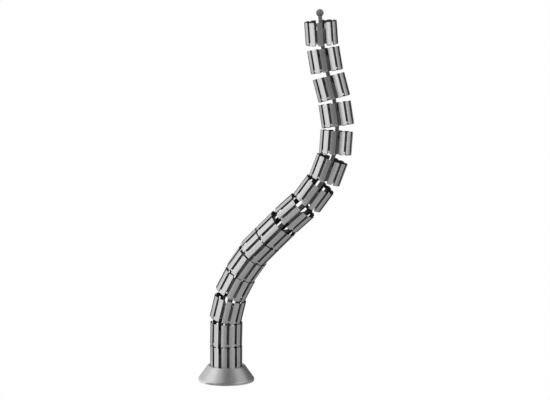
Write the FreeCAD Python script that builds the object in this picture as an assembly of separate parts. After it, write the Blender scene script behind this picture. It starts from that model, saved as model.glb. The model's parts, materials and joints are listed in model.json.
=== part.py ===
import FreeCAD, Part
import math
import os

from FreeCAD import Placement, Rotation, Vector

# Cable spine: a round weighted foot and a chain of slotted vertebrae on ball joints.
# Millimetres, +Z up, origin on the floor under the middle of the foot.
# The camera side is -Y and the chain swings out to +X.

# Vertebra shell
vertebra_radius = 30.0
vertebra_height = 43.5
finger_wall = 2.2
band_wall = 3.2
bottom_round = 2.5
top_round = 0.6
mouth_bevel = 1.5

# Slots in the shell: each chamber has one entry slot, with a finger slot on each side of it
chambers = 4
entry_slot = 6.2
finger_slot = 4.0
finger_pitch_deg = 30.0
bridge_bottom = 3.2
bridge_top = 6.6
bridge_step = 1.2
slot_corner = 2.2

# Arms that carry the shell on the hub
arm_thickness = 2.2
arm_bottom = 2.6
arm_recess = 6.0

# Hub, ball stud and socket
ball_radius = 7.0
ball_reach = 15.5
neck_radius = 3.6
neck_root = 5.0
socket_clearance = 0.15
socket_roof = 3.4
hub_wall = 2.25
hub_bottom = 2.0
lip_undercut = 0.5
lip_depth = 1.2
stack_gap = 0.3

# Foot
foot_radius = 52.1
foot_edge = 5.6
foot_edge_round = 1.6
foot_rim_width = 4.1
foot_height = 30.0
foot_rim_round = 0.8
cover_wall = 2.4
cover_lift = 0.6
recess_depth = 7.5
recess_clearance = 0.7
pad_thickness = 2.0
fit_clearance = 0.3

# Stud in the foot and its screw
flange_radius = 12.0
flange_thickness = 1.6
spigot_radius = 5.0
spigot_clearance = 0.1
screw_radius = 2.0
screw_clearance = 0.3
thread_clearance = 0.05
thread_depth = 10.0
screw_end_gap = 1.0
head_radius = 3.5
head_height = 4.0
key_width = 3.0
key_depth = 2.0

# Pose of each vertebra, from the foot to the top, in degrees and millimetres:
# side_lean tips it to +X, front_lean to the camera side, slot_turn turns its entry slot to +X,
# and lift is how far its bottom edge stands above the top edge of what is below.
side_lean = [0, 1.2, 13.2, 26.4, 33.6, 42.4, 42.9, 46.2, 35.2, 20.4, 4.2, -8.7, -14.8, -9.6, -4]
front_lean = [0, 2, 4.5, 8.3, 14.1, 16.1, 15.9, 10.8, 6, -1.8, -7.2, -8.4, -8.7, -8, -3.2]
slot_turn = [-25, -25, -17, -11, -4, 9, 10, 15, 10, 5, 3, 6, 7, 9, 11]
lift = [1.2, 1.2, 3.8, 6.1, 2.1, 1.8, 1.2, 8.0, 9.3, 9.4, 9.3, 8.2, 7.1, 8.0, 7.0]

# Worked out from the sizes above
shell_inner = vertebra_radius - finger_wall
band_inner = vertebra_radius - band_wall
slot_inner = band_inner - band_wall
bridge_outer = vertebra_radius - bridge_step
chamber_pitch = 360.0 / chambers
socket_radius = ball_radius + socket_clearance
socket_top = ball_reach - stack_gap + ball_radius + socket_clearance
hub_radius = socket_radius + hub_wall
hub_top = socket_top + socket_roof
lip_radius = ball_radius - lip_undercut
lip_height = hub_bottom + lip_depth
ball_height = vertebra_height + ball_reach
recess_radius = vertebra_radius + recess_clearance
foot_top_radius = recess_radius + foot_rim_width
recess_floor = foot_height - recess_depth
weight_top = recess_floor - cover_wall
cone_slope = (foot_radius - foot_top_radius) / (foot_height - foot_edge)
screw_seat = pad_thickness + head_height + screw_clearance


def at(radius, height):
    return Vector(radius, 0, height)


def path(points):
    """Straight edges through points given as (radius, height)."""
    places = [at(*point) for point in points]
    return [Part.LineSegment(a, b).toShape() for a, b in zip(places, places[1:])]


def arc(centre, radius, start_deg, end_deg):
    """An arc in the XZ plane about centre, between two angles counted from +X towards +Z."""
    def spot(angle):
        turn = math.radians(angle)
        return at(centre[0] + radius * math.cos(turn), centre[1] + radius * math.sin(turn))
    return Part.Arc(spot(start_deg), spot((start_deg + end_deg) / 2), spot(end_deg)).toShape()


def revolved(edges):
    """A solid turned round Z from a closed outline in the XZ plane."""
    return Part.Face(Part.Wire(edges)).revolve(Vector(0, 0, 0), Vector(0, 0, 1), 360)


def turned(shape, angle):
    copy = shape.copy()
    copy.rotate(Vector(0, 0, 0), Vector(0, 0, 1), angle)
    return copy


def shell():
    """Round wall of a vertebra: thin fingers above, a thicker band with a round edge below."""
    edges = [arc((vertebra_radius - bottom_round, bottom_round), bottom_round, -90, 0)]
    edges += path([
        (vertebra_radius, bottom_round),
        (vertebra_radius, vertebra_height - top_round),
        (vertebra_radius - top_round, vertebra_height),
        (shell_inner + mouth_bevel, vertebra_height),
        (shell_inner, vertebra_height - mouth_bevel),
        (shell_inner, bridge_top + band_wall - finger_wall),
        (band_inner, bridge_top),
        (band_inner, 0),
        (vertebra_radius - bottom_round, 0),
    ])
    return revolved(edges)


def entry_cutter():
    """Cutter for an entry slot along -Y, from bottom to top, that leaves round corners below."""
    half = entry_slot / 2
    past = vertebra_height + 1.0
    left = arc((-half - slot_corner, slot_corner), slot_corner, -90, 0)
    right = arc((half + slot_corner, slot_corner), slot_corner, 180, 270)
    sides = path([(-half, slot_corner), (-half, past), (half, past), (half, slot_corner)])
    floor = path([(half + slot_corner, 0), (-half - slot_corner, 0)])
    face = Part.Face(Part.Wire([left] + sides + [right] + floor))
    face.translate(Vector(0, -slot_inner, 0))
    return face.extrude(Vector(0, slot_inner - vertebra_radius - 1.0, 0))


def finger_cutter(low, high, inner):
    """Cutter for a finger slot along -Y, between two heights, from outside in to a depth."""
    outer = vertebra_radius + 1.0
    return Part.makeBox(finger_slot, outer - inner, high - low, Vector(-finger_slot / 2, -outer, low))


def slots():
    """Each chamber's entry slot, and finger slots that leave a set-back bridge over a notch."""
    past = vertebra_height + 1.0
    finger_slots = [
        finger_cutter(bridge_top, past, slot_inner),
        finger_cutter(-1.0, bridge_bottom, slot_inner),
        finger_cutter(-1.0, past, bridge_outer),
    ]
    cutters = []
    for chamber in range(chambers):
        azimuth = chamber * chamber_pitch
        cutters.append(turned(entry_cutter(), azimuth))
        for side in (-finger_pitch_deg, finger_pitch_deg):
            cutters += [turned(cutter, azimuth + side) for cutter in finger_slots]
    return cutters


def arms():
    """Walls between the chambers, from the hub to the middle finger of each group."""
    start = hub_radius - hub_wall / 2
    end = shell_inner + finger_wall / 2
    outline = path([
        (start, arm_bottom),
        (end, arm_bottom),
        (end, vertebra_height - arm_recess),
        (start, hub_top - socket_roof / 2),
        (start, arm_bottom),
    ])
    face = Part.Face(Part.Wire(outline))
    face.translate(Vector(0, -arm_thickness / 2, 0))
    wall = face.extrude(Vector(0, arm_thickness, 0))
    return [turned(wall, (chamber + 0.5) * chamber_pitch) for chamber in range(chambers)]


def stud_edges(centre, root):
    """Outline of a ball and its neck, from the top of the axis down to the neck's root."""
    meet_deg = -math.degrees(math.acos(neck_radius / ball_radius))
    meet_height = centre + ball_radius * math.sin(math.radians(meet_deg))
    ball = arc((0, centre), ball_radius, 90, meet_deg)
    return [ball] + path([(neck_radius, meet_height), (neck_radius, root)])


def core():
    """Hub with its blind socket, and the neck and ball above it, as one turned form."""
    edges = stud_edges(ball_height, hub_top + neck_root)
    edges += path([
        (neck_radius, hub_top + neck_root),
        (hub_radius, hub_top),
        (hub_radius, hub_bottom),
        (lip_radius + lip_depth, hub_bottom),
        (lip_radius, lip_height),
        (socket_radius, lip_height + lip_depth),
        (socket_radius, socket_top),
        (0, socket_top),
        (0, ball_height + ball_radius),
    ])
    return revolved(edges)


def vertebra():
    wall = shell().cut(slots())
    return wall.fuse(arms() + [core()]).removeSplitter()


def lean(index):
    """Turn of one vertebra: its entry slot first, then to the front, then to the side."""
    side = Rotation(Vector(0, 1, 0), side_lean[index])
    front = Rotation(Vector(1, 0, 0), front_lean[index])
    return side.multiply(front).multiply(Rotation(Vector(0, 0, 1), slot_turn[index]))


def chain():
    """Placement of every vertebra and the ball centre that it swings on, from the foot up."""
    steps = []
    ball = Vector(0, 0, recess_floor + ball_reach)
    for index in range(len(side_lean)):
        turn = lean(index)
        axis = turn.multVec(Vector(0, 0, 1))
        bottom = ball - axis * (ball_reach - lift[index])
        steps.append((Placement(bottom, turn), ball))
        ball = bottom + axis * ball_height
    return steps


def cone_radius(height):
    """Outer radius of the foot's cone at a height."""
    return foot_top_radius + cone_slope * (foot_height - height)


def inside_cone(height, depth):
    """Radius of a line that lies a depth inside the cone's face, square to it."""
    return cone_radius(height) - depth * math.hypot(1.0, cone_slope)


def foot_cover():
    """Thin cone with a short upright edge, and a recess that takes the lowest vertebra."""
    hole = spigot_radius + spigot_clearance
    cover = revolved(path([
        (foot_radius, cover_lift),
        (foot_radius, foot_edge),
        (foot_top_radius, foot_height),
        (recess_radius, foot_height),
        (recess_radius, recess_floor),
        (hole, recess_floor),
        (hole, weight_top),
        (inside_cone(weight_top, cover_wall), weight_top),
        (foot_radius - cover_wall, foot_edge),
        (foot_radius - cover_wall, cover_lift),
        (foot_radius, cover_lift),
    ]))
    cover = cover.makeFillet(foot_edge_round, [rim(cover, foot_radius, foot_edge)])
    return cover.makeFillet(foot_rim_round, [rim(cover, foot_top_radius, foot_height)])


def rim(shape, radius, height):
    """The full circle of a turned shape that has this radius at this height."""
    def miss(edge):
        box = edge.BoundBox
        return abs(box.XLength / 2 - radius) + abs(box.ZMin - height) + abs(box.ZMax - height)
    return min(shape.Edges, key=miss)


def foot_weight():
    """Solid weight that fills the cover, bored for the screw and its head."""
    outer = foot_radius - cover_wall - fit_clearance
    bore = screw_radius + screw_clearance
    head_bore = head_radius + screw_clearance
    return revolved(path([
        (head_bore, pad_thickness),
        (outer, pad_thickness),
        (outer, foot_edge),
        (inside_cone(weight_top, cover_wall + fit_clearance), weight_top),
        (bore, weight_top),
        (bore, screw_seat),
        (head_bore, screw_seat),
        (head_bore, pad_thickness),
    ]))


def foot_pad():
    return Part.makeCylinder(foot_radius - cover_wall - fit_clearance, pad_thickness)


def foot_stud():
    """Ball stud on a flange that clamps the cover to the weight, tapped from below."""
    flange_top = recess_floor + flange_thickness
    thread = screw_radius + thread_clearance
    edges = stud_edges(recess_floor + ball_reach, flange_top)
    edges += path([
        (neck_radius, flange_top),
        (flange_radius, flange_top),
        (flange_radius, recess_floor),
        (spigot_radius, recess_floor),
        (spigot_radius, weight_top),
        (thread, weight_top),
        (thread, weight_top + thread_depth),
        (0, weight_top + thread_depth),
        (0, recess_floor + ball_reach + ball_radius),
    ])
    return revolved(edges)


def stud_screw():
    """Hexagon-socket screw that comes up through the weight into the stud."""
    head = Part.makeCylinder(head_radius, head_height, at(0, screw_seat - head_height))
    shank_length = weight_top + thread_depth - screw_end_gap - screw_seat
    shank = Part.makeCylinder(screw_radius, shank_length, at(0, screw_seat))
    corner = key_width / 2 / math.cos(math.radians(30))
    first = Part.Vertex(corner, 0, screw_seat - head_height)
    corners = [turned(first, 60 * step).Point for step in range(7)]
    key = Part.Face(Part.makePolygon(corners)).extrude(at(0, key_depth))
    return head.fuse(shank).cut(key).removeSplitter()


def main():
    os.makedirs("parts", exist_ok=True)
    nodes = {
        "foot_cover": foot_cover(),
        "foot_weight": foot_weight(),
        "foot_pad": foot_pad(),
        "foot_stud": foot_stud(),
        "stud_screw": stud_screw(),
    }
    one = vertebra()
    for index, (place, ball) in enumerate(chain()):
        copy = one.copy()
        copy.Placement = place
        nodes["vertebra_%02d" % (index + 1)] = copy
    for name, shape in nodes.items():
        shape.exportStep("parts/%s.step" % name)
    print("vertebra: %d solid, valid %s, %.2f cm3" % (len(one.Solids), one.isValid(), one.Volume / 1000))


main()
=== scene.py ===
import json
import math

import bpy
import numpy as np
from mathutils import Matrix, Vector


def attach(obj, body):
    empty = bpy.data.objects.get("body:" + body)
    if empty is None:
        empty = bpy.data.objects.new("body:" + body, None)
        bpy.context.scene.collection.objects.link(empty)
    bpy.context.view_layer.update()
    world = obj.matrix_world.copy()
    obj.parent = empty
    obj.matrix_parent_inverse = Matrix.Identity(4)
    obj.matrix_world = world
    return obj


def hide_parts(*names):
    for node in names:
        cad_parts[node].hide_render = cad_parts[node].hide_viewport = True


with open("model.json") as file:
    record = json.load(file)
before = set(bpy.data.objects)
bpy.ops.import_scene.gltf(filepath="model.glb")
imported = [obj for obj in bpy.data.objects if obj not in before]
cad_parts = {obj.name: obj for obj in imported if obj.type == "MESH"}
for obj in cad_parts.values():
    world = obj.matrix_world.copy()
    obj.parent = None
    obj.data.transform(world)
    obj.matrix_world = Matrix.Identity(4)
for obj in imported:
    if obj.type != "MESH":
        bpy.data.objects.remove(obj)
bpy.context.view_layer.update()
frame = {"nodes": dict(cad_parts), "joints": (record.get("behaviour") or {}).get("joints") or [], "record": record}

mm = 0.001
print("frame loaded")

camera = {
    "place": (0.0908, -10.0, 2.1808),
    "downDeg": 10.418,     # how far it looks below level
    "lensMm": 359.3,
    "sensorMm": 36.0,
    "reach": 60.0,         # farthest thing it sees, in metres
}


# The photograph's long lens, level from left to right and a little above the spine
def makeCamera():
    data = bpy.data.cameras.new("photoCamera")
    data.lens = camera["lensMm"]
    data.sensor_width = camera["sensorMm"]
    data.clip_end = camera["reach"]
    eye = bpy.data.objects.new("photoCamera", data)
    eye.location = camera["place"]
    eye.rotation_euler = (math.radians(90 - camera["downDeg"]), 0, 0)
    bpy.context.scene.collection.objects.link(eye)
    bpy.context.scene.camera = eye


# Puts points and faces into a new mesh object at the origin, and links it to the scene
def meshFrom(name, points, faces, smooth=True):
    mesh = bpy.data.meshes.new(name)
    mesh.from_pydata(points.reshape(-1, 3).tolist(), [], faces)
    mesh.polygons.foreach_set("use_smooth", [smooth] * len(mesh.polygons))
    mesh.update()
    piece = bpy.data.objects.new(name, mesh)
    bpy.context.scene.collection.objects.link(piece)
    return piece


# Quads of a grid numbered row by row: each cell joins a point, the next one along, and the two
# above them. keep is a mask over the cells, and closed joins the last column to the first.
def gridFaces(rows, columns, closed=False, keep=None, first=0):
    wrap = columns if closed else columns - 1
    row, column = np.meshgrid(np.arange(rows - 1), np.arange(wrap), indexing="ij")
    after = (column + 1) % columns
    quads = np.stack([row * columns + column, row * columns + after,
                      (row + 1) * columns + after, (row + 1) * columns + column], -1)
    quads = quads.reshape(-1, 4) if keep is None else quads[keep]
    return (quads + first).tolist()


# Surface of revolution: x is radius times sine of the turn, y is minus radius times its cosine,
# and z is the height
def turnedPoints(profile, around):
    turn = np.linspace(0, 2 * math.pi, around, endpoint=False)
    radius, height = profile[:, :1], profile[:, 1:]
    return np.stack([radius * np.sin(turn), -radius * np.cos(turn), height + 0 * turn], -1)


# Points on an arc: centre plus radius times cosine and sine of evenly spaced angles
def arcPoints(centre, radius, startDeg, endDeg, count):
    turn = np.radians(np.linspace(startDeg, endDeg, count))
    return np.stack([centre[0] + radius * np.cos(turn), centre[1] + radius * np.sin(turn)], -1)


# Rounds every edge sharper than the angle
def bevel(piece, width, segments=2, angle=35):
    cut = piece.modifiers.new("edges", "BEVEL")
    cut.width = width * mm
    cut.segments = segments
    cut.limit_method = "ANGLE"
    cut.angle_limit = math.radians(angle)
    cut.harden_normals = True


link = {
    "radius": 30.0,
    "height": 43.5,
    "wall": 2.2,
    "bottomRound": 2.3,    # outer edge at the bottom
    "mouthBevel": 1.5,     # inner edge at the top
    "entrySlot": 6.4,
    "fingerSlot": 5.2,
    "slotDeg": 30.0,       # from an entry slot to the finger slots beside it
    "bridgeBottom": 3.2,
    "bridgeTop": 6.6,
    "bandBottom": 36.0,    # bare band behind the finger slots near the top edge
    "bandTop": 42.4,
    "bridgeStep": 1.2,     # face of a bridge or band behind the fingers' faces
    "bridgeLap": 0.7,      # how far either runs into the finger at each end
    "bottomCorner": 2.2,   # corner of a finger beside an entry slot
    "topCorner": 1.3,
    "edgeBevel": 0.4,
    "rowsUp": [0, 0.25, 0.6, 1.1, 1.6, 2.2, 3.2, 4.9, 6.6, 9, 15, 22, 29, 36, 40],   # grid rows
    "rowsDown": [1.3, 1, 0.6, 0.3, 0.08, 0],    # and the last ones, below the top edge
    # each link's entry slot from the front, the lowest link first
    "turnDeg": [-22.5, -23.5, -18.5, -17, -9.5, -0.5, -1, 5.5, 3, 1.5, 4, 7, 10, 11, 11],
}

hub = {
    "ballRadius": 7.0,
    "ballReach": 15.5,     # ball centre above the top edge of its own link
    "neckRadius": 3.6,
    "neckRoot": 5.0,
    "radius": 9.4,
    "bottom": 2.0,
    "top": 25.75,
    "socketRadius": 7.15,
    "socketTop": 22.35,
    "lipRadius": 6.5,
    "lipDepth": 1.2,
    "armThickness": 2.2,
    "armBottom": 2.6,
    "armRecess": 6.0,      # top edge of an arm below the top edge of the fingers
    "armRoot": 24.0,       # top edge of an arm where it meets the hub
    "armLap": 0.8,         # how far it runs into the hub
    "around": 40,
    "edgeBevel": 0.35,
}


# A link's axis runs from its own ball joint to the next one. Its base lies on that axis,
# below the upper ball.
def linkPlaces():
    balls = [np.array(joint["pos_m"]) for joint in frame["joints"]]
    topBall = next(mount for mount in frame["record"]["mounts"] if mount["name"] == "top_ball")
    balls.append(np.array(topBall["pos_m"]))
    places = []
    for below, above, turn in zip(balls, balls[1:], link["turnDeg"]):
        axis = (above - below) / np.linalg.norm(above - below)
        side = math.atan2(axis[0], axis[2])
        rise = -axis[1]
        level = math.sqrt(1 - rise ** 2)
        front = -np.array([math.sin(side) * rise, level, math.cos(side) * rise])
        right = np.cross(axis, front)
        angle = math.radians(turn)
        slotWay = front * math.cos(angle) + right * math.sin(angle)
        base = above - axis * (link["height"] + hub["ballReach"]) * mm
        places.append((base, np.cross(axis, slotWay), -slotWay, axis))
    return places


# Points in a link's own millimetres, carried to the shared frame in metres:
# the base plus x, y and z times the link's three directions
def placed(points, place):
    base, xWay, yWay, zWay = place
    return base + (points[..., :1] * xWay + points[..., 1:2] * yWay + points[..., 2:3] * zWay) * mm


# How far a round corner has pulled in at a distance from the end: the corner minus the root of
# the corner squared less what is left of it squared
def roundInset(distance, corner):
    left = np.clip(corner - distance, 0, corner)
    return corner - np.sqrt(corner ** 2 - left ** 2)


# One group of three fingers, as a grid of angle by height. The radius is the link's, less the round
# at the bottom edge, and each finger narrows by the round of its corners.
def fingerGroup():
    degPerMm = 180 / math.pi / link["radius"]
    half = 45 - link["entrySlot"] / 2 * degPerMm
    slotMiddle = 45 - link["slotDeg"]
    slotNear = slotMiddle - link["fingerSlot"] / 2 * degPerMm
    slotFar = slotMiddle + link["fingerSlot"] / 2 * degPerMm
    outer = np.linspace(slotFar, half, 8)
    middle = np.linspace(-slotNear, slotNear, 9)
    angles = np.concatenate([-outer[::-1], middle, outer])
    top = link["height"]
    heights = np.concatenate([link["rowsUp"], top - np.array(link["rowsDown"])])
    angle, height = np.meshgrid(angles, heights)
    sideFinger = np.abs(angle) > slotMiddle
    fingerMiddle = np.where(sideFinger, np.sign(angle) * (half + slotFar) / 2, 0)
    fingerHalf = np.where(sideFinger, (half - slotFar) / 2, slotNear)
    topInset = roundInset(top - height, link["topCorner"]) * degPerMm
    angle = fingerMiddle + (angle - fingerMiddle) * (1 - topInset / fingerHalf)
    outward = np.clip((np.abs(angle) - slotFar) / (half - slotFar), 0, 1)
    angle = angle - np.sign(angle) * roundInset(height, link["bottomCorner"]) * degPerMm * outward
    radius = link["radius"] - roundInset(height, link["bottomRound"])
    cellAngle = (angles[1:] + angles[:-1]) / 2
    finger = (np.abs(cellAngle) < slotNear) | (np.abs(cellAngle) > slotFar)
    return angle, height, radius, np.broadcast_to(finger, (len(heights) - 1, len(finger)))


# One bridge or band across a finger slot, as a grid of angle by height on a smaller radius,
# let into both fingers
def bridgeStrip(bottom, top):
    reach = (link["fingerSlot"] / 2 + link["bridgeLap"]) * 180 / math.pi / link["radius"]
    angle, height = np.meshgrid(np.linspace(-reach, reach, 5), np.linspace(bottom, top, 4))
    return angle, height, 0 * angle + link["radius"] - link["bridgeStep"], None


# The wall thins towards the top edge: its share is the distance from the top over the bevel, up
# to one. Where a band is set back, the share is less by that step over the bevel, so that it ends
# flush inside.
def bevelMouth(fingers, heights, setBack):
    group = fingers.vertex_groups.new(name="wallShare")
    shares = np.clip((link["height"] - heights) / link["mouthBevel"], 0, 1)
    shares = np.maximum(shares - setBack / link["mouthBevel"], 0)
    for share in np.unique(shares):
        group.add(np.flatnonzero(shares == share).tolist(), float(share), "REPLACE")


# Twelve fingers, eight bridges and eight bands of one link, bent round its axis: x is radius times
# sine of the angle, y is minus radius times its cosine. All are then given their wall inwards.
# Material slot 0 is painted and 1 is bare: a band is bare on its face too.
def makeFingers(number, place):
    group = fingerGroup()
    bridge = bridgeStrip(link["bridgeBottom"], link["bridgeTop"])
    band = bridgeStrip(link["bandBottom"], link["bandTop"])
    slotOffset = 45 - link["slotDeg"]
    points, faces, slots, setBack = [], [], [], []
    for quarter in range(4):
        middle = 45 + 90 * quarter
        slotTurns = (middle - slotOffset, middle + slotOffset)
        sheets = [(group, middle, 0)]
        sheets += [(bridge, turn, 0) for turn in slotTurns]
        sheets += [(band, turn, 1) for turn in slotTurns]
        for (angle, height, radius, keep), turn, bare in sheets:
            turned = np.radians(angle + turn)
            quads = gridFaces(*angle.shape, keep=keep, first=sum(map(len, points)))
            faces += quads
            slots += [bare] * len(quads)
            setBack.append(np.full(angle.size, bare * link["bridgeStep"]))
            bent = np.stack([radius * np.sin(turned), -radius * np.cos(turned), height], -1)
            points.append(bent.reshape(-1, 3))
    points = np.vstack(points)
    fingers = meshFrom("fingers_%02d" % number, placed(points, place), faces)
    bevelMouth(fingers, points[:, 2], np.concatenate(setBack))
    wall = fingers.modifiers.new("wall", "SOLIDIFY")
    wall.thickness = link["wall"] * mm
    wall.offset = -1
    wall.vertex_group = "wallShare"
    wall.thickness_vertex_group = 1 - link["mouthBevel"] / link["wall"]
    wall.material_offset = 1       # bare moulding inside and on the slot walls
    wall.material_offset_rim = 1
    bevel(fingers, link["edgeBevel"])
    return fingers, slots


# Outline of ball, neck, hub, lip and blind socket, from the top of the ball round to the socket's
# roof. It leaves a small ring open at each pole, which makeCore closes with one face.
# The ball ends where its arc meets the neck: the arc cosine of neck radius over ball radius,
# below its middle.
def coreProfile():
    meetDeg = -math.degrees(math.acos(hub["neckRadius"] / hub["ballRadius"]))
    ball = arcPoints((0, link["height"] + hub["ballReach"]), hub["ballRadius"], 89.5, meetDeg, 16)
    lip = hub["bottom"] + hub["lipDepth"]
    below = np.array([
        (hub["neckRadius"], hub["top"] + hub["neckRoot"]),
        (hub["radius"], hub["top"]),
        (hub["radius"], hub["bottom"]),
        (hub["lipRadius"] + hub["lipDepth"], hub["bottom"]),
        (hub["lipRadius"], lip),
        (hub["socketRadius"], lip + hub["lipDepth"]),
        (hub["socketRadius"], hub["socketTop"]),
        (0.1, hub["socketTop"]),
    ])
    return np.vstack([ball, below])


# Four arms, each a flat plate of eight corners: an outline in radius and height, moved to both
# sides of its middle
def armPoints():
    start = hub["radius"] - hub["armLap"]
    end = link["radius"] - link["wall"] / 2
    outline = np.array([(start, hub["armBottom"]), (end, hub["armBottom"]),
                        (end, link["height"] - hub["armRecess"]), (start, hub["armRoot"])])
    half = hub["armThickness"] / 2
    plates = []
    for quarter in range(4):
        turn = math.radians(45 + 90 * quarter)
        way = np.array([math.sin(turn), -math.cos(turn), 0])
        across = np.array([math.cos(turn), math.sin(turn), 0])
        for side in (-half, half):
            upright = outline[:, :1] * way + outline[:, 1:] * np.array([0, 0, 1])
            plates.append(upright + across * side)
    return np.vstack(plates)


# Turned hub with its ball stud, closed at both poles, and the four arms that carry the fingers
def makeCore(number, place):
    around = hub["around"]
    profile = coreProfile()
    body = turnedPoints(profile, around)
    # the outline runs downwards, so its quads are turned over to face outwards
    faces = [face[::-1] for face in gridFaces(len(profile), around, closed=True)]
    last = (len(profile) - 1) * around
    faces.append(list(range(around)))
    faces.append(list(range(last + around - 1, last - 1, -1)))
    plates = armPoints()
    for plate in range(4):
        corner = len(profile) * around + plate * 8
        near = list(range(corner, corner + 4))
        far = list(range(corner + 4, corner + 8))
        faces += [near, far[::-1]]
        faces += [[near[(k + 1) % 4], near[k], far[k], far[(k + 1) % 4]] for k in range(4)]
    points = np.vstack([body.reshape(-1, 3), plates])
    core = meshFrom("core_%02d" % number, placed(points, place), faces)
    bevel(core, hub["edgeBevel"])
    return core


foot = {
    "radius": 52.1,
    "edge": 5.6,           # height of the upright band at the floor
    "topRadius": 34.8,
    "height": 30.0,
    "wall": 2.4,
    "lift": 0.3,           # cover above the floor
    "recessRadius": 30.7,
    "recessFloor": 22.5,
    "hole": 5.1,
    "edgeRound": 1.0,
    "roundSteps": 3,
    "roundDeg": 25,        # edges sharper than this are rounded
    "around": 120,
}


# Cone cover turned from its closed outline: up the outside, down into the seat and back under
# the roof
def makeFoot():
    slope = (foot["radius"] - foot["topRadius"]) / (foot["height"] - foot["edge"])
    roof = foot["recessFloor"] - foot["wall"]
    coneRadius = foot["topRadius"] + slope * (foot["height"] - roof)
    roofRadius = coneRadius - foot["wall"] * math.hypot(1, slope)
    profile = np.array([
        (foot["radius"] - foot["wall"], foot["lift"]),
        (foot["radius"], foot["lift"]),
        (foot["radius"], foot["edge"]),
        (foot["topRadius"], foot["height"]),
        (foot["recessRadius"], foot["height"]),
        (foot["recessRadius"], foot["recessFloor"]),
        (foot["hole"], foot["recessFloor"]),
        (foot["hole"], roof),
        (roofRadius, roof),
        (foot["radius"] - foot["wall"], foot["edge"]),
    ])
    around = foot["around"]
    faces = gridFaces(len(profile), around, closed=True)
    last = (len(profile) - 1) * around
    faces += [[last + k, last + (k + 1) % around, (k + 1) % around, k] for k in range(around)]
    cover = meshFrom("foot_cone", turnedPoints(profile, around) * mm, faces)
    bevel(cover, foot["edgeRound"], foot["roundSteps"], foot["roundDeg"])
    return cover


# Links a socket where it is given one, and writes the value where it is given a number or a colour
def feed(tree, socket, value):
    if isinstance(value, bpy.types.NodeSocket):
        tree.links.new(value, socket)
    else:
        socket.default_value = value


def mathNode(tree, operation, *values):
    node = tree.nodes.new("ShaderNodeMath")
    node.operation = operation
    for socket, value in zip(node.inputs, values):
        feed(tree, socket, value)
    return node.outputs[0]


def mixColour(tree, factor, first, second):
    node = tree.nodes.new("ShaderNodeMix")
    node.data_type = "RGBA"
    feed(tree, node.inputs[0], factor)
    feed(tree, node.inputs[6], first)
    feed(tree, node.inputs[7], second)
    return node.outputs[2]


def noiseNode(tree, scale, detail):
    place = tree.nodes.new("ShaderNodeTexCoord")
    noise = tree.nodes.new("ShaderNodeTexNoise")
    noise.inputs["Detail"].default_value = detail
    tree.links.new(place.outputs["Object"], noise.inputs["Vector"])
    feed(tree, noise.inputs["Scale"], scale)
    return noise.outputs[0]


def newGroup(name, inputs, outputs):
    group = bpy.data.node_groups.new(name, "ShaderNodeTree")
    for label, kind, value in inputs:
        socket = group.interface.new_socket(label, in_out="INPUT", socket_type="NodeSocket" + kind)
        socket.default_value = value
    for label, kind in outputs:
        group.interface.new_socket(label, in_out="OUTPUT", socket_type="NodeSocket" + kind)
    return group, group.nodes.new("NodeGroupInput").outputs, group.nodes.new("NodeGroupOutput").inputs


grain = {
    "fineShare": 0.6,      # of fine noise in the tone
    "slowShare": 0.4,      # and of the slow drift
    "slowScale": 22.0,     # drifts to a metre
}


# Grain of a sprayed or moulded surface: fine noise plus a slow drift moves the tone,
# and the drift moves the gloss
def makeGrain():
    group, given, made = newGroup(
        "grain",
        [("Colour", "Color", (0.5, 0.5, 0.5, 1)), ("Roughness", "Float", 0.4),
         ("Grain Size", "Float", 0.5), ("Tone", "Float", 0.1), ("Gloss Drift", "Float", 0.05)],
        [("Colour", "Color"), ("Roughness", "Float"), ("Height", "Float")])
    fine = noiseNode(group, mathNode(group, "DIVIDE", 1000.0, given["Grain Size"]), 3)
    slow = noiseNode(group, grain["slowScale"], 2)
    both = mathNode(group, "ADD", mathNode(group, "MULTIPLY", fine, grain["fineShare"]),
                    mathNode(group, "MULTIPLY", slow, grain["slowShare"]))
    swing = mathNode(group, "MULTIPLY", mathNode(group, "SUBTRACT", both, 0.5), given["Tone"])
    tint = group.nodes.new("ShaderNodeVectorMath")
    tint.operation = "SCALE"
    group.links.new(given["Colour"], tint.inputs[0])
    group.links.new(mathNode(group, "ADD", 1.0, swing), tint.inputs["Scale"])
    centred = mathNode(group, "SUBTRACT", slow, 0.5)
    drift = mathNode(group, "MULTIPLY", centred, given["Gloss Drift"])
    group.links.new(tint.outputs[0], made["Colour"])
    group.links.new(mathNode(group, "ADD", given["Roughness"], drift), made["Roughness"])
    group.links.new(fine, made["Height"])


edgeWear = {
    "gain": 5.0,           # how soon a turned normal counts as an edge
    "patchScale": 160.0,
}


# Rubbed edges: one minus the dot product of a softened normal and the true one, broken up by noise
def makeEdgeWear():
    group, given, made = newGroup(
        "edgeWear",
        [("Colour", "Color", (0.5, 0.5, 0.5, 1)), ("Worn Colour", "Color", (0.8, 0.8, 0.8, 1)),
         ("Reach", "Float", 0.0006), ("Amount", "Float", 0.5)],
        [("Colour", "Color")])
    soft = group.nodes.new("ShaderNodeBevel")
    soft.samples = 4
    group.links.new(given["Reach"], soft.inputs["Radius"])
    true = group.nodes.new("ShaderNodeNewGeometry")
    dot = group.nodes.new("ShaderNodeVectorMath")
    dot.operation = "DOT_PRODUCT"
    group.links.new(soft.outputs[0], dot.inputs[0])
    group.links.new(true.outputs["Normal"], dot.inputs[1])
    turned = mathNode(group, "SUBTRACT", 1.0, dot.outputs["Value"])
    edge = mathNode(group, "MULTIPLY", turned, edgeWear["gain"])
    patches = noiseNode(group, edgeWear["patchScale"], 2)
    patchy = mathNode(group, "MULTIPLY", mathNode(group, "MINIMUM", edge, 1.0), patches)
    mask = mathNode(group, "MINIMUM", mathNode(group, "MULTIPLY", patchy, given["Amount"]), 1.0)
    group.links.new(mixColour(group, mask, given["Colour"], given["Worn Colour"]), made["Colour"])


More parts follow.
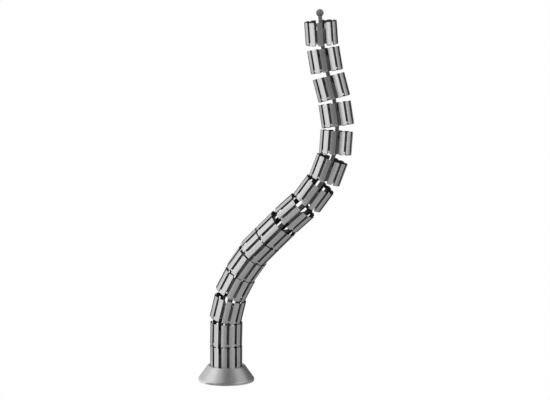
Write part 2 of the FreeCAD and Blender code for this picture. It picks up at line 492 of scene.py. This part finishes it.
finishes = {
    "silverPaint": {"colour": (0.79, 0.79, 0.795), "roughness": 0.36, "metallic": 0.85, "grainMm": 0.4,
                    "tone": 0.12, "bump": 0.25, "worn": (0.9, 0.9, 0.9), "wear": 0.5},
    "darkMoulding": {"colour": (0.035, 0.035, 0.037), "roughness": 0.5, "metallic": 0.0, "grainMm": 0.6,
                     "tone": 0.3, "bump": 0.3},
    # hub: silver overspray on the moulding, darkened to a mid grey as painted shade for the inside of the link
    "hubOversprayShade": {"colour": (0.18, 0.18, 0.185), "roughness": 0.45, "metallic": 0.0, "grainMm": 0.6,
                    "tone": 0.2, "bump": 0.2},
    "padRubber": {"colour": (0.02, 0.02, 0.02), "roughness": 0.8, "metallic": 0.0, "grainMm": 0.8,
                  "tone": 0.4, "bump": 0.6},
    "castIron": {"colour": (0.07, 0.07, 0.07), "roughness": 0.6, "metallic": 0.7, "grainMm": 1.2,
                 "tone": 0.4, "bump": 0.8},
    "screwSteel": {"colour": (0.5, 0.5, 0.5), "roughness": 0.3, "metallic": 1.0, "grainMm": 0.3,
                   "tone": 0.1, "bump": 0.1},
}


reliefMm = 0.05            # depth of the bump in every finish


# Grain, then edge wear over it where the finish has any, then a Principled shader with a fine bump
def makeFinish(name, look):
    material = bpy.data.materials.new(name)
    material.use_nodes = True
    tree = material.node_tree
    shader = tree.nodes["Principled BSDF"]
    shader.inputs["Metallic"].default_value = look["metallic"]
    coat = tree.nodes.new("ShaderNodeGroup")
    coat.node_tree = bpy.data.node_groups["grain"]
    coat.inputs["Colour"].default_value = (*look["colour"], 1)
    coat.inputs["Roughness"].default_value = look["roughness"]
    coat.inputs["Grain Size"].default_value = look["grainMm"]
    coat.inputs["Tone"].default_value = look["tone"]
    colour = coat.outputs["Colour"]
    if "worn" in look:
        edges = tree.nodes.new("ShaderNodeGroup")
        edges.node_tree = bpy.data.node_groups["edgeWear"]
        edges.inputs["Worn Colour"].default_value = (*look["worn"], 1)
        edges.inputs["Amount"].default_value = look["wear"]
        tree.links.new(colour, edges.inputs["Colour"])
        colour = edges.outputs["Colour"]
    tree.links.new(colour, shader.inputs["Base Color"])
    tree.links.new(coat.outputs["Roughness"], shader.inputs["Roughness"])
    relief = tree.nodes.new("ShaderNodeBump")
    relief.inputs["Strength"].default_value = look["bump"]
    relief.inputs["Distance"].default_value = reliefMm * mm
    tree.links.new(coat.outputs["Height"], relief.inputs["Height"])
    tree.links.new(relief.outputs[0], shader.inputs["Normal"])
    return material


# Gives a piece its materials, in the order of their slots
def dress(piece, *materials):
    piece.data.materials.clear()
    for material in materials:
        piece.data.materials.append(material)


stage = {
    "world": 0.5,          # level at which the world lights the object
    "floorShare": 0.995,   # share of plain white in what the camera sees of the floor
    "floorGloss": 0.9,     # the same for what the silver reflects
    "floorReach": 30.0,    # from the middle to each side
    "tentRadius": 2.3,
    "sheetPoints": 12,     # along each side of a panel and along an apron
    # tent panels that only gloss sees: turn from the camera side, height angle, level
    "panels": {
        "backLeftWall": ((-180, -110), (1, 45), 0.58),
        "leftWall": ((-110, -62), (1, 45), 0.9),
        "frontLeftLow": ((-62, -42), (1, 24), 1.07),
        "frontLeftHigh": ((-62, -42), (24, 45), 0.0),
        "frontWall": ((-42, 42), (1, 45), 0.02),
        "rightWall": ((42, 62), (1, 45), 1.1),
        "rightBackWall": ((62, 85), (1, 45), 0.85),
        "backRightWall": ((85, 110), (1, 45), 0.46),
        "backWall": ((110, 180), (1, 45), 0.02),
        "backLeftTop": ((-180, -110), (45, 80), 0.65),
        "leftTop": ((-110, -62), (45, 80), 1.1),
        "frontLeftTop": ((-62, -24), (45, 80), 0.47),
        "frontTop": ((-24, 110), (45, 80), 0.03),
        "backTop": ((110, 180), (45, 80), 0.05),
    },
    "nearRing": (0.053, 0.14),     # radii of the sheets that the foot's edge reflects
    "farRing": (0.14, 2.3),        # and of those that the links reflect, out to the tent
    # sheets on the floor that only gloss sees: turn from the camera side, level
    "nearAprons": {
        "nearLeftApron": ((-180, -50), 0.95),
        "nearFrontApron": ((-50, 15), 0.12),
        "nearRightApron": ((15, 75), 0.2),
        "nearBackApron": ((75, 180), 0.07),
    },
    "farAprons": {
        "backLeftApron": ((-180, -110), 0.32),
        "leftApron": ((-110, -62), 0.66),
        "frontLeftApron": ((-62, -24), 0.82),
        "frontApron": ((-24, 42), 0.26),
        "rightApron": ((42, 85), 0.33),
        "backRightApron": ((85, 180), 0.22),
    },
    "aim": (0.1, 0, 0.35),         # middle of the spine, where the lamps point
    # place, width, height, power
    "lamps": {
        "leftBox": ((-1.7, -1.3, 1.0), 1.0, 1.6, 14.0),
        "rightBox": ((1.5, -1.5, 0.8), 0.5, 1.4, 5.0),
        "topBox": ((0.2, -0.3, 2.4), 1.4, 1.4, 6.0),
    },
}


# Whether a ray comes from the camera, and whether it comes off gloss or through glass
def seenPlainly(tree):
    ray = tree.nodes.new("ShaderNodeLightPath")
    both = mathNode(tree, "MAXIMUM", ray.outputs["Is Glossy Ray"], ray.outputs["Is Transmission Ray"])
    return ray.outputs["Is Camera Ray"], both


# White floor: part plain white to the camera and in gloss, the rest diffuse so that it takes
# the shadow
def floorMaterial():
    material = bpy.data.materials.new("floorWhite")
    material.use_nodes = True
    tree = material.node_tree
    tree.nodes.remove(tree.nodes["Principled BSDF"])
    matt = tree.nodes.new("ShaderNodeBsdfDiffuse")
    matt.inputs["Color"].default_value = (0.8, 0.8, 0.8, 1)
    plain = tree.nodes.new("ShaderNodeEmission")
    toCamera, inGloss = seenPlainly(tree)
    share = mathNode(tree, "ADD", mathNode(tree, "MULTIPLY", toCamera, stage["floorShare"]),
                     mathNode(tree, "MULTIPLY", inGloss, stage["floorGloss"]))
    mix = tree.nodes.new("ShaderNodeMixShader")
    tree.links.new(share, mix.inputs[0])
    tree.links.new(matt.outputs[0], mix.inputs[1])
    tree.links.new(plain.outputs[0], mix.inputs[2])
    tree.links.new(mix.outputs[0], tree.nodes["Material Output"].inputs["Surface"])
    return material


# World that is white behind the spine and in its gloss, and softer where it only lights it
def makeWorld():
    world = bpy.data.worlds.new("studio")
    bpy.context.scene.world = world
    world.use_nodes = True
    tree = world.node_tree
    toCamera, inGloss = seenPlainly(tree)
    seen = mathNode(tree, "MAXIMUM", toCamera, inGloss)
    extra = mathNode(tree, "MULTIPLY", seen, 1 - stage["world"])
    level = mathNode(tree, "ADD", stage["world"], extra)
    tree.nodes["Background"].inputs["Color"].default_value = (1, 1, 1, 1)
    tree.links.new(level, tree.nodes["Background"].inputs["Strength"])


# Soft box that points at the spine and doesn't show in its gloss
def makeLamp(name, place, wide, high, power):
    data = bpy.data.lights.new(name, "AREA")
    data.shape = "RECTANGLE"
    data.size = wide
    data.size_y = high
    data.energy = power
    lamp = bpy.data.objects.new(name, data)
    lamp.location = place
    way = Vector(stage["aim"]) - Vector(place)
    lamp.rotation_euler = way.to_track_quat("-Z", "Y").to_euler()
    lamp.visible_glossy = False
    bpy.context.scene.collection.objects.link(lamp)


# Plain sheet that only gloss sees, at a level of white
def makeSheet(name, points, level):
    sheet = meshFrom(name, points, gridFaces(*points.shape[:2]))
    material = bpy.data.materials.new(name)
    material.use_nodes = True
    tree = material.node_tree
    tree.nodes.remove(tree.nodes["Principled BSDF"])
    glow = tree.nodes.new("ShaderNodeEmission")
    glow.inputs["Strength"].default_value = level
    tree.links.new(glow.outputs[0], tree.nodes["Material Output"].inputs["Surface"])
    dress(sheet, material)
    sheet.visible_camera = False
    sheet.visible_diffuse = False
    sheet.visible_shadow = False


# Part of a ball round the spine: radius times sine and cosine of the turn, flattened by cosine of
# the rise, and its height is radius times sine of the rise
def makePanel(name, turn, rise, level):
    count = stage["sheetPoints"]
    turns, rises = np.radians(np.meshgrid(np.linspace(*turn, count), np.linspace(*rise, count)))
    way = [np.sin(turns) * np.cos(rises), -np.cos(turns) * np.cos(rises), np.sin(rises)]
    makeSheet(name, stage["tentRadius"] * np.stack(way, -1), level)


# Part of a flat ring just over the floor: radius times sine and cosine of the turn
def makeApron(name, ring, turn, level):
    across = np.radians(np.linspace(*turn, stage["sheetPoints"]))
    turns, radius = np.meshgrid(across, np.linspace(*ring, 4))
    points = np.stack([radius * np.sin(turns), -radius * np.cos(turns), 0 * turns + mm], -1)
    makeSheet(name, points, level)


# World, floor, lamps, the tent's panels and the two rings of aprons
def makeStage():
    makeWorld()
    corners = np.array([(-1, -1, 0), (1, -1, 0), (1, 1, 0), (-1, 1, 0)]) * stage["floorReach"]
    floor = meshFrom("floor", corners, [[0, 1, 2, 3]], smooth=False)
    dress(floor, floorMaterial())
    for name, values in stage["lamps"].items():
        makeLamp(name, *values)
    for name, values in stage["panels"].items():
        makePanel(name, *values)
    for reach in ("near", "far"):
        for name, values in stage[reach + "Aprons"].items():
            makeApron(name, stage[reach + "Ring"], *values)


makeCamera()
print("camera set")

makeGrain()
makeEdgeWear()
paint = {name: makeFinish(name, look) for name, look in finishes.items()}
print("finishes made")

for number, place in enumerate(linkPlaces(), 1):
    body = "vertebra_%02d" % number
    fingers, slots = makeFingers(number, place)
    dress(fingers, paint["silverPaint"], paint["darkMoulding"])
    fingers.data.polygons.foreach_set("material_index", slots)
    core = makeCore(number, place)
    # the hub takes the overspray grey, darkened as painted shade
    dress(core, paint["hubOversprayShade"])
    for piece in (fingers, core):
        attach(piece, body)
        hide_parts(body)
print("links made")

cone = makeFoot()
dress(cone, paint["silverPaint"])
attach(cone, "foot")
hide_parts("foot_cover")
# the stud takes the hub's overspray grey, darkened as painted shade
nodeFinishes = {"foot_weight": "castIron", "foot_pad": "padRubber", "foot_stud": "hubOversprayShade",
                "stud_screw": "screwSteel"}
for node, name in nodeFinishes.items():
    dress(frame["nodes"][node], paint[name])
print("foot made")

makeStage()
bpy.context.scene.view_settings.view_transform = "Standard"
print("stage set")
